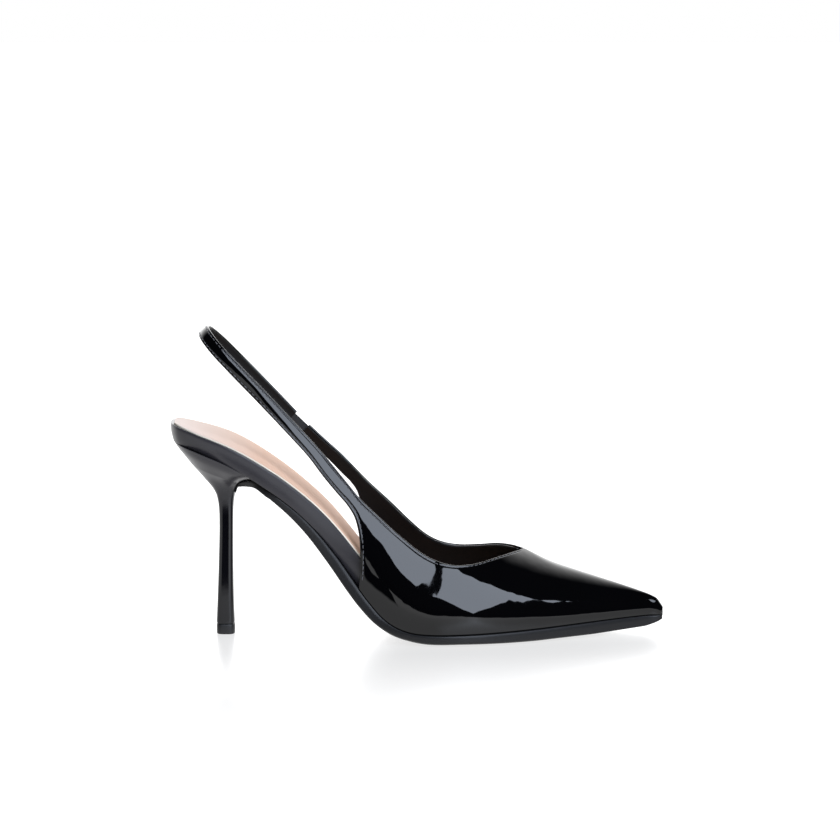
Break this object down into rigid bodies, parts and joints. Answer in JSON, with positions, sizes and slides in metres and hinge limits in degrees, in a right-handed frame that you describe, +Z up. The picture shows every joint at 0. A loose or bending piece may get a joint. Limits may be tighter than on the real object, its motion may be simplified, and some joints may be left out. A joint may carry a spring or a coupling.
{
  "type": "slingback stiletto pump",
  "caption": "Pointed slingback pump for the right foot: patent upper with a V throat, elastic gored sling, cushioned sock and a covered stiletto heel.",
  "frame": {"origin": "middle of the overall box, on the floor the shoe stands on", "axes": "+X runs from the heel to the toe, +Y to the inner (medial) side of the foot, +Z up"},
  "size_m": [0.224, 0.0726, 0.1418],
  "materials": {
    "patent": "high-gloss black patent coating",
    "lining": "matte black smooth synthetic lining",
    "backing": "woven reinforcement cloth",
    "puff": "stiffened toe puff sheet",
    "thread": "twisted polyester sewing thread",
    "board": "pressed cellulose insole board",
    "steel": "plain bright steel",
    "filler": "bonded felt filler",
    "sock": "soft matte blush sock lining",
    "foam": "latex foam sheet",
    "sole_rubber": "satin black moulded sole",
    "heel_plastic": "moulded heel block",
    "tip_rubber": "hard black tip",
    "elastic": "ribbed woven black elastic"
  },
  "bodies": {
    "shoe": {"upper_outer": "patent", "upper_lining": "lining", "vamp_interlining": "backing", "toe_puff": "puff", "topline_tape_lateral": "backing", "topline_tape_medial": "backing", "topline_stitching": "thread", "quarter_stitching": "thread", "insole_board": "board", "insole_wrap": "patent", "shank_board": "board", "shank_steel": "steel", "shank_rivets": "steel", "bottom_filler": "filler", "sock": "sock", "heel_pad": "foam", "forefoot_pad": "foam", "outsole": "sole_rubber", "heel_core": "heel_plastic", "heel_cover": "patent", "heel_tube": "steel", "heel_screw": "steel", "heel_nails": "steel", "heel_tip": "tip_rubber", "heel_tip_pin": "steel"},
    "tab": {"quarter_tab": "patent", "quarter_tab_lining": "lining", "elastic_gore": "elastic", "gore_stitching": "thread"},
    "sling": {"sling_strap": "patent", "sling_strap_lining": "lining", "sling_stitching": "thread"}
  },
  "joints": [
    {"name": "strap_fold", "type": "hinge", "parent": "shoe", "child": "tab", "pos_m": [-0.0331, 0, 0.071], "axis": [0, -1, 0], "range_deg": [-20, 20], "stiffness_Nm_per_rad": 0.12},
    {"name": "gore_stretch", "type": "hinge", "parent": "tab", "child": "sling", "pos_m": [-0.0332, -0.0217, 0.07], "axis": [0.719, 0, 0.695], "range_deg": [0, 6], "stiffness_Nm_per_rad": 1.6, "deforming": ["elastic_gore"]}
  ]
}
